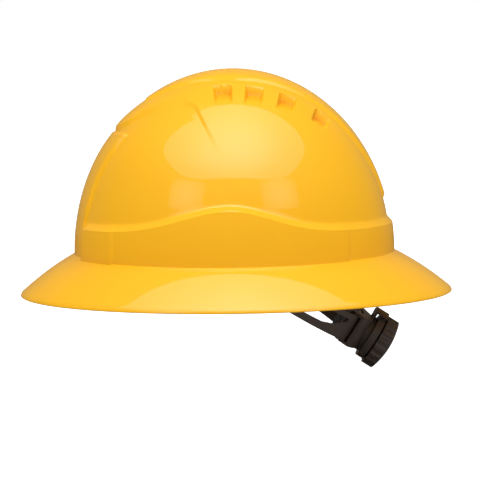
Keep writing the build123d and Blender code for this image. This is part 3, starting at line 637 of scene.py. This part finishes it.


# in each cloth the first colour is painted shade in the weave's valleys, the second is the threads' own colour
webbing = cloth("woven_webbing", (0.012, 0.012, 0.013), (0.060, 0.060, 0.064), 700.0, 0.15 * mm, 0.3)
pad_cover = cloth("knitted_pad_cover", (0.010, 0.010, 0.011), (0.045, 0.045, 0.050), 900.0, 0.12 * mm, 0.5)
steel = zinc()
print("cloths:", webbing.name, pad_cover.name, "metal:", steel.name)

# %% [markdown]
# ## The frame's own pieces
# The knob, the gears, the nape arms and the headband are hard parts whose shape the frame has right already. They
# stay as they are and only get their plastic, by the finish that the record names for each of them.

# %% CAD nodes keep their shape and get their finish
node_materials = dict(nape_plastic=nape_black, band_plastic=band_grey, gear_plastic=gear_cream, screw_steel=steel)
slots = {part["node"]: part["material_slot"] for part in frame["record"]["subparts"]}
dressed = [name for name in frame["nodes"] if slots[name] in node_materials]
for name in dressed:
    materials = frame["nodes"][name].data.materials
    materials.clear()
    materials.append(node_materials[slots[name]])
print("dressed:", len(dressed), "CAD nodes")

# %% [markdown]
# ## The pads
# The sweatband round the forehead and the pad at the nape are strips of foam in a knitted cover. Foam is fullest
# in the middle of the strip and thins to its sewn edges, and cross seams every few centimetres pull it in. Such
# a strip is a section, a rounded box, carried along a path, so one function makes both from a path, the
# direction in which the pad swells, and the direction of its height.

# %% Padded strips
up = np.array([0, 0, 1.0])
seam_pitch = 26 * mm
seam_half_width = 1.4 * mm
seam_pull = 0.30
binding_pull = 0.25


def padded_strip(path, inwards, up, thickness, half_height):
    """A rounded box carried along a path: its depth and height are powers of a cosine and a sine, and seams pull it in.

    At each end the section shrinks along a quarter circle, so that the strip closes round. A bell curve is taken
    from the outer side at each cross seam, and along the binding near both edges.
    """
    along = lengths_along(path)
    turns = np.linspace(0, 2 * np.pi, 40, endpoint=False)
    depth, height = bulge(np.cos(turns), 0.6), bulge(np.sin(turns), 0.45)
    end_gap = np.minimum(along, along[-1] - along) / (thickness * 0.6)
    closing = np.sqrt(np.clip(1 - (1 - np.clip(end_gap, 0, 1)) ** 2, 0.0004, 1))
    seam = np.abs((along - along[-1] / 2 + seam_pitch / 2) % seam_pitch - seam_pitch / 2)
    seams = 1 - seam_pull * np.exp(-((seam / seam_half_width) ** 2))
    binding = 1 - binding_pull * np.exp(-(((np.abs(height) - 0.82) / 0.05) ** 2))
    shaped = thickness / 2 * depth * closing[:, None] * np.where(depth > 0, seams[:, None] * binding, 1.0)
    raised = half_height * height * (0.25 + 0.75 * closing[:, None])
    points = path[:, None, :] + inwards[:, None, :] * (thickness / 2 + shaped[..., None]) + up * raised[..., None]
    around_length = turns / (2 * np.pi) * (4 * half_height + 2 * thickness)
    uv = np.stack(np.broadcast_arrays(along[:, None], around_length), axis=-1)
    rows, loop = points.shape[:2]
    caps = np.array([points[0].mean(axis=0), points[-1].mean(axis=0)])
    points = np.concatenate([points.reshape(-1, 3), caps])
    uv = np.concatenate([uv.reshape(-1, 2), [[0, 0], [along[-1], 0]]])
    faces = grid_faces(rows, loop).tolist()
    faces += fan(rows * loop, 0, loop, forward=False)
    faces += fan(rows * loop + 1, (rows - 1) * loop, loop)
    return points, faces, uv


def face_out(piece, weld=0.0):
    """Welds points that lie together, turns the faces of a closed piece outwards, and says how much room it takes."""
    shape = bmesh.new()
    shape.from_mesh(piece.data)
    if weld:
        bmesh.ops.remove_doubles(shape, verts=shape.verts, dist=weld)
    bmesh.ops.recalc_face_normals(shape, faces=shape.faces)
    open_edges = sum(not edge.is_manifold for edge in shape.edges)
    print(piece.name, "volume", round(shape.calc_volume(signed=True) / mm**3), "cubic mm, open edges", open_edges)
    shape.to_mesh(piece.data)
    shape.free()


# %% Brow pad
headband_half = np.array([76.0, 101.0]) * mm
headband_gap = 0.3 * mm
brow_thickness = 4.0 * mm


def oval_centres(short, long):
    """For an oval of four arcs: how far the centres of its end arcs and of its side arcs lie from its middle."""
    end = long - short**2 / long
    lag = short - long + end
    return end, (end**2 - lag**2) / lag / 2


def oval(turns, grow):
    """An oval of four arcs by the direction its wall faces: each arc's centre plus its radius in that direction."""
    short, long = headband_half
    end, past = oval_centres(short, long)
    on_side = np.abs(np.tan(turns)) < end / past
    centre_x = np.where(on_side, -past * np.sign(np.cos(turns)), 0)
    centre_y = np.where(on_side, 0, end * np.sign(np.sin(turns)))
    radius = np.where(on_side, short + past, long - end) + grow
    x, y = centre_x + radius * np.cos(turns), centre_y + radius * np.sin(turns)
    return np.stack([x, y, np.zeros_like(x)], axis=-1)


brow_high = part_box("brow_pad")[1]
brow_turn = asin(-brow_high.y / (headband_half[0] + oval_centres(*headband_half)[1]))
brow_turns = np.linspace(-np.pi + brow_turn, -brow_turn, 320)
brow_path = oval(brow_turns, -headband_gap)
brow_in = -np.stack([np.cos(brow_turns), np.sin(brow_turns), np.zeros_like(brow_turns)], axis=-1)
brow_shape = padded_strip(brow_path, brow_in, up, brow_thickness, brow_high.z)
brow_pad = add_piece("brow_pad_cover", pad_cover, "root", "pad_foam", ["brow_pad"], 70.0, *brow_shape)
face_out(brow_pad)

# %% Nape pad
nape_radius = 78.0 * mm
nape_half_angle = radians(28.5)
nape_thickness = 5.0 * mm
nape_half_height = 12.8 * mm

joints = {joint["name"]: joint for joint in frame["joints"]}
pivot = np.array(joints["nape_swing"]["pos_m"])
back = np.array(joints["size_slide"]["axis"])
across = np.array([1.0, 0, 0])
nape_up = np.cross(across, back)
nape_turns = np.linspace(-nape_half_angle, nape_half_angle, 150)
nape_out = np.sin(nape_turns)[:, None] * across + np.cos(nape_turns)[:, None] * back
nape_path = pivot + nape_radius * nape_out
nape_shape = padded_strip(nape_path, -nape_out, nape_up, nape_thickness, nape_half_height)
nape_pad = add_piece("nape_pad_cover", pad_cover, "ratchet", "pad_foam", ["nape_pad"], 70.0, *nape_shape)
face_out(nape_pad)

# %% [markdown]
# ## The crown straps
# Two lengths of webbing cross over the head, each in one plane through the middle of the crown. A strap goes
# down through the slot of its key and folds back up behind it, where it is sewn to itself. So its path is an
# oval's upper half with a straight drop and a fold at each end, and the webbing is a thin rounded box along it.

# %% Straps
strap_width = 19.0 * mm
strap_thickness = 1.2 * mm
strap_layer_gap = 0.6 * mm
strap_fold = 1.2 * mm
strap_below_crown = 26.0 * mm
strap_from_key = 0.9 * mm
strap_end_rise = 6.0 * mm
key_turn = radians(48.0)
key_thickness = 5.0 * mm
key_height = 24.0 * mm
key_slot_share = 0.42
key_from_wall = 3.7 * mm
key_clearance = 0.3 * mm

inner_size = crown_size - shell_wall
at_foot_reach = 1 / sqrt((cos(key_turn) / inner_size[0]) ** 2 + (sin(key_turn) / inner_size[1]) ** 2)
key_inner = at_foot_reach - key_from_wall - key_thickness
strap_reach = key_inner - strap_from_key - strap_thickness / 2
strap_back = key_inner + key_thickness + key_clearance + strap_thickness / 2
strap_rise = crown_size[2] - strap_below_crown
strap_slot_z = foot_z - key_clearance - key_height * key_slot_share
strap_end_z = strap_slot_z + strap_end_rise


def arc(centre, radius, start, sweep, count):
    """Points of a circle's arc: the centre plus the radius in each direction from start through sweep."""
    return centre + radius * on_circle(start + np.linspace(0, sweep, count))


def strap_line(rise):
    """Half the strap from its middle: the top arc, the side arc, the drop, and the fold round the key's slot."""
    end, past = oval_centres(strap_reach, rise)
    meet = atan2(end, past)
    top = arc((0, foot_z + end), rise - end, np.pi / 2, meet - np.pi / 2, 40)
    side = arc((-past, foot_z), strap_reach + past, meet, -meet, 50)
    fold_z = strap_slot_z + strap_fold
    under = arc((strap_reach + strap_fold, fold_z), strap_fold, np.pi, np.pi / 2, 8)
    behind = arc((strap_back - strap_fold, fold_z), strap_fold, -np.pi / 2, np.pi / 2, 8)
    return np.concatenate([top, side[1:], under, behind, [[strap_back, strap_end_z]]])


def crown_strap(name, node, turn, drop):
    """Webbing along the strap's line: across it a flat loop, a sine for its width and a cosine for its thickness."""
    half = strap_line(strap_rise - drop)
    line = np.concatenate([half[::-1] * [-1, 1], half[1:]])
    step = np.gradient(line, axis=0)
    step = step / np.linalg.norm(step, axis=1, keepdims=True)
    outward = np.array([cos(turn), sin(turn), 0])
    sideways = np.array([sin(turn), -cos(turn), 0])
    path = crown_middle * [1, 1, 0] + line[:, :1] * outward + line[:, 1:] * up
    normal = -step[:, 1:] * outward + step[:, :1] * up
    turns = np.linspace(0, 2 * np.pi, 16, endpoint=False)
    width = strap_width / 2 * bulge(np.sin(turns), 0.3)
    depth = strap_thickness / 2 * bulge(np.cos(turns), 0.5)
    points = path[:, None] + sideways * width[None, :, None] + normal[:, None] * depth[None, :, None]
    along = lengths_along(path)
    uv = np.stack(np.broadcast_arrays(along[:, None], width + depth), axis=-1)
    rows, loop = points.shape[:2]
    faces = grid_faces(rows, loop).tolist()
    faces += [tuple(range(loop))[::-1], tuple(range((rows - 1) * loop, rows * loop))]
    face_out(add_piece(name, webbing, "root", "webbing", [node], 70.0, points, faces, uv))
    print(name, "length", round(float(along[-1]) / mm), "mm")


crown_strap("upper_crown_webbing", "upper_crown_strap", key_turn, 0.0)
crown_strap("lower_crown_webbing", "lower_crown_strap", np.pi - key_turn, strap_thickness + strap_layer_gap)

# %% [markdown]
# ## The crown pad
# A perforated foam disc under the crossing keeps the webbing off the head. Its six holes make a plain polar grid
# impossible, so the disc is cut like a pie: each slice is a fan of lines from its own hole to its edge. Foam
# is die cut and then pressed, so it thins to nothing in a quarter round at every edge, and there both sides meet.

# %% Crown pad
pad_radius = 23.0 * mm
pad_thickness = 1.6 * mm
pad_edge = 1.2 * mm
pad_holes = 6
hole_ring = 15.33 * mm
hole_radius = 2.875 * mm
holes = hole_ring * on_circle(np.arange(pad_holes) * 2 * np.pi / pad_holes)
strap_end_centre = oval_centres(strap_reach, strap_rise)[0]
pad_middle = crown_middle + [0, 0, strap_end_centre]
pad_ball = strap_rise - strap_end_centre - 1.5 * (strap_thickness + strap_layer_gap) - pad_thickness / 2


def pie_slice(turn):
    """Flat points of one slice: rows from its hole to its border, columns round the hole."""
    half = np.pi / pad_holes
    leg = np.linspace(0, 1, 17)[:, None] * pad_radius
    rim = pad_radius * on_circle(np.linspace(-half, half, 20))
    border = np.concatenate([leg * [cos(half), -sin(half)], rim[1:], leg[::-1][1:] * [cos(half), sin(half)]])
    middle = np.array([hole_ring, 0])
    way = border - middle
    start = middle + way * hole_radius / np.linalg.norm(way, axis=-1, keepdims=True)
    share = (np.linspace(0, 1, 14) ** 1.4)[:, None, None]
    flat = start + (border - start) * share
    return flat @ np.array([[cos(turn), sin(turn)], [-sin(turn), cos(turn)]])


def pad_sheet(flat, side):
    """The slice laid on the ball, with half the thickness added outwards or inwards, rounded off at the edges."""
    from_holes = np.linalg.norm(flat[..., None, :] - holes, axis=-1).min(axis=-1) - hole_radius
    from_rim = pad_radius - np.linalg.norm(flat, axis=-1)
    edge = np.clip(np.minimum(from_holes, from_rim) / pad_edge, 0, 1)
    half = pad_thickness / 2 * np.sqrt(1 - (1 - edge) ** 2)
    height = np.sqrt(pad_ball**2 - (flat**2).sum(axis=-1))
    on_ball = np.concatenate([flat, height[..., None]], axis=-1)
    return pad_middle + on_ball * (1 + side * half / pad_ball)[..., None]


pad_points, pad_faces, pad_count = [], [], 0
for number in range(pad_holes):
    flat = pie_slice(2 * np.pi * number / pad_holes)
    for side in (1, -1):
        sheet = pad_sheet(flat, side)
        pad_faces += (grid_faces(*sheet.shape[:2])[:, ::side] + pad_count).tolist()
        pad_points.append(sheet.reshape(-1, 3))
        pad_count += len(pad_points[-1])
pad_points = np.concatenate(pad_points)
pad_shape = (pad_points, pad_faces, pad_points[:, :2])
crown_pad = add_piece("crown_pad_cover", pad_cover, "root", "pad_foam", ["crown_pad"], 70.0, *pad_shape)
face_out(crown_pad, weld=0.001 * mm)

# %% [markdown]
# ## The sockets inside the shell
# Four small cups in the shell take the plugs of the strap keys, and two wider ones at the sides take the clips of
# ear muffs. A cup is a block that grows out of the wall, open downwards, so it is one ring of points carried from
# the block's top down its outside, over its lower edge, and up inside the pocket.

# %% Sockets
cup_wall = 2.2 * mm
cup_lip = 0.3 * mm
cup_corner = 0.3
plug_size = {"width": 14.0 * mm, "height": 12.0 * mm, "thickness": 3.0 * mm}
accessory_size = {"half_width": 15 * mm, "depth": 22 * mm, "gap": 4.6 * mm}


def wall_reach(turn, side, height, grow):
    """How far out the crown's wall is, at an offset sideways and a height above its foot.

    The ellipsoid's equation is a quadratic in the way out, and this is its larger root.
    """
    size = crown_size + grow
    out_x, out_y, side_x, side_y = cos(turn), sin(turn), sin(turn), -cos(turn)
    square = (out_x / size[0]) ** 2 + (out_y / size[1]) ** 2
    cross = side * (out_x * side_x / size[0] ** 2 + out_y * side_y / size[1] ** 2)
    rest = side**2 * ((side_x / size[0]) ** 2 + (side_y / size[1]) ** 2) + (height / size[2]) ** 2 - 1
    return (-cross + np.sqrt(cross**2 - square * rest)) / square


def socket_cup(name, turn, inner_face, gap, half_width, depth):
    """A cup's rings: each is a rounded box of 48 points, powers of a cosine and a sine, at one height."""
    turns = np.linspace(0, 2 * np.pi, 48, endpoint=False)
    across, outward = bulge(np.sin(turns), cup_corner), bulge(np.cos(turns), cup_corner)
    roof = [(depth + 2 * cup_wall, 0.0), (depth + 1.9 * cup_wall, 0.6 * cup_wall)]
    block = roof + [(depth, cup_wall), (cup_lip, cup_wall), (0, 0.9 * cup_wall)]
    pocket = [(0, 0.1 * mm), (cup_lip, 0.0), (depth, 0.0)]
    rings = []
    for height, grow in block:
        side = across * (half_width + grow)
        inner = inner_face - grow
        outer = wall_reach(turn, side, height, -shell_wall / 2)
        rings.append((inner + (outer - inner) * (0.5 + 0.5 * outward), side, np.full_like(turns, height)))
    for height, grow in pocket:
        out = inner_face + gap / 2 + outward * (gap / 2 + grow)
        rings.append((out, across * (half_width + grow), np.full_like(turns, height)))
    out, side, height = np.moveaxis(np.array(rings), 1, 0)
    x = crown_middle[0] + out * cos(turn) + side * sin(turn)
    y = crown_middle[1] + out * sin(turn) - side * cos(turn)
    loop, count = len(turns), len(rings)
    faces = grid_faces(count, loop).tolist()
    faces += [tuple(range(loop)), tuple(range((count - 1) * loop, count * loop))]
    points = np.stack([x, y, foot_z + height], axis=-1)
    face_out(add_piece(name, amber, "root", "shell_plastic", (), 35.0, points, faces))


plug_face = key_inner + key_thickness - plug_size["thickness"] - key_clearance
plug_pocket = {
    "gap": plug_size["thickness"] + 2 * key_clearance,
    "half_width": plug_size["width"] / 2 + key_clearance,
    "depth": plug_size["height"] + key_clearance,
}
key_names = ("rear_left", "rear_right", "front_right", "front_left")
for name, turn in zip(key_names, (key_turn, np.pi - key_turn, np.pi + key_turn, -key_turn)):
    socket_cup(f"{name}_socket", turn, plug_face, **plug_pocket)
for name, turn in (("left_accessory", 0.0), ("right_accessory", np.pi)):
    socket_cup(f"{name}_socket", turn, inner_size[0] - accessory_size["gap"], **accessory_size)

# %% [markdown]
# ## The studio
# The photograph was taken on white, under one large softbox overhead and two small ones beside the camera, and
# their shapes show in the gloss of the crown. The lamps' places come from that: a mirror line from the camera,
# off the crown where each reflection lies, points back at its lamp. The floor and the sky are white to the
# camera, but give the object only a weak light, so that the yellow keeps its strength. A faint backdrop behind
# the hat gives its outline a little gloss.

# %% Floor
floor_z = cad_low.z
floor_half = 30.0
floor_glow = 1.0
grey_to_light = (0.5, 0.5, 0.5, 1)
grey_to_gloss = (0.1, 0.1, 0.1, 1)


def level_by_ray(tree, light, gloss, bright):
    """One number for the camera's rays, one for what gloss sees, and one for light that falls on the object."""
    path = add_node(tree, "ShaderNodeLightPath")
    by_gloss = add_node(tree, "ShaderNodeMix", {"A": light, "B": gloss}, data_type="FLOAT")
    by_camera = add_node(tree, "ShaderNodeMix", {"B": bright}, data_type="FLOAT")
    tree.links.new(path.outputs["Is Glossy Ray"], by_gloss.inputs["Factor"])
    tree.links.new(by_gloss.outputs["Result"], by_camera.inputs["A"])
    tree.links.new(path.outputs["Is Camera Ray"], by_camera.inputs["Factor"])
    return by_camera.outputs["Result"]


floor_mesh = bpy.data.meshes.new("floor")
floor_corners = [(x * floor_half, y * floor_half, floor_z) for x, y in ((-1, -1), (1, -1), (1, 1), (-1, 1))]
floor_mesh.from_pydata(floor_corners, [], [(0, 1, 2, 3)])
floor = add_object("floor", floor_mesh)

pale, tree, pale_shader, link = new_material("pale_floor")
set_inputs(pale_shader, {"Roughness": 0.9, "Emission Color": (1, 1, 1, 1)})
grey = add_node(tree, "ShaderNodeMix", {"A": grey_to_light, "B": grey_to_gloss}, data_type="RGBA")
seen_by = add_node(tree, "ShaderNodeLightPath")
underside = add_node(tree, "ShaderNodeNewGeometry")
clear = add_node(tree, "ShaderNodeBsdfTransparent")
either = add_node(tree, "ShaderNodeMixShader")
link(level_by_ray(tree, 0.0, 0.0, floor_glow), pale_shader.inputs["Emission Strength"])
link(seen_by.outputs["Is Glossy Ray"], grey.inputs["Factor"])
link(grey.outputs["Result"], pale_shader.inputs["Base Color"])
link(underside.outputs["Backfacing"], either.inputs[0])
link(pale_shader.outputs["BSDF"], either.inputs[1])
link(clear.outputs["BSDF"], either.inputs[2])
link(either.outputs["Shader"], tree.nodes["Material Output"].inputs["Surface"])
floor_mesh.materials.append(pale)
print("floor at", round(floor_z / mm, 1), "mm")

# %% Lamps and sky
even_share = 0.27
window_face = 2.8
window_aim = (0, 0, 0.05)
window_bright = (0.3, 0.26)
sky_level = 0.60
sky_gloss = 0.13


def softbox(name, place, aim, size, half_bright, face_level, corner, watts=0.0):
    """A bright face that only gloss sees, and where it has watts, a lamp of the same size that only lights.

    The face's outline is a power of a cosine and a sine, which makes a rounded box. It is brightest in its middle,
    as cloth before a bulb is: a share of the light is even, and the rest is one half to the power of the distance
    squared, where the distance is in units of half_bright along each side.
    """
    place, (width, height) = Vector(place), size
    turn = (Vector(aim) - place).to_track_quat("-Z", "Y").to_euler()
    glow, tree, shader, link = new_material(name)
    set_inputs(shader, {"Base Color": (0, 0, 0, 1), "Emission Color": (1, 1, 1, 1)})
    on_face = add_node(tree, "ShaderNodeTexCoord")
    measure = add_node(tree, "ShaderNodeVectorMath", {1: (*half_bright, 1)}, operation="DIVIDE")
    squared = add_node(tree, "ShaderNodeVectorMath", operation="DOT_PRODUCT")
    fade = add_node(tree, "ShaderNodeMath", {0: 0.5}, operation="POWER")
    level = add_node(tree, "ShaderNodeMath", operation="MULTIPLY_ADD")
    set_inputs(level, {1: face_level * (1 - even_share), 2: face_level * even_share})
    link(on_face.outputs["Object"], measure.inputs[0])
    link(measure.outputs["Vector"], squared.inputs[0])
    link(measure.outputs["Vector"], squared.inputs[1])
    link(squared.outputs["Value"], fade.inputs[1])
    link(fade.outputs[0], level.inputs[0])
    link(level.outputs[0], shader.inputs["Emission Strength"])
    rim = bulge(on_circle(-np.linspace(0, 2 * np.pi, 64, endpoint=False)), corner) * [width / 2, height / 2]
    mesh = bpy.data.meshes.new(f"{name}_face")
    mesh.from_pydata([(x, y, 0.0) for x, y in rim.tolist()], [], [tuple(range(len(rim)))])
    mesh.materials.append(glow)
    face = add_object(f"{name}_face", mesh)
    face.location, face.rotation_euler = place, turn
    face.visible_camera = face.visible_diffuse = face.visible_shadow = face.visible_transmission = False
    if watts:
        lamp = bpy.data.lights.new(name, "AREA")
        lamp.shape = "RECTANGLE"
        lamp.size, lamp.size_y, lamp.energy = width, height, watts
        holder = add_object(name, lamp)
        holder.location, holder.rotation_euler = place, turn
        holder.visible_glossy = False
    print(name, width, "by", height, "m")


softbox("overhead_softbox", (0.90, 0.07, 1.45), (0.90, 0.07, 0), (1.92, 2.8), (0.62, 0.64), 7.3, 0.7, watts=32.5)
softbox("front_window", (1.49, -0.99, 0.95), window_aim, (0.82, 0.55), window_bright, window_face, 0.3)
softbox("rear_window", (1.46, 0.98, 0.93), window_aim, (0.84, 0.55), window_bright, window_face, 0.3)
softbox("backdrop", (-1.6, 0, 0.7), (0, 0, 0.7), (5.0, 1.6), (4.0, 4.0), 0.2, 0.2)

sky = bpy.data.worlds.new("studio")
bpy.context.scene.world = sky
sky.use_nodes = True
background = sky.node_tree.nodes["Background"]
set_inputs(background, {"Color": (1, 1, 1, 1)})
sky.node_tree.links.new(level_by_ray(sky.node_tree, sky_level, sky_gloss, 1.0), background.inputs["Strength"])
bpy.context.scene.view_settings.view_transform = "Standard"
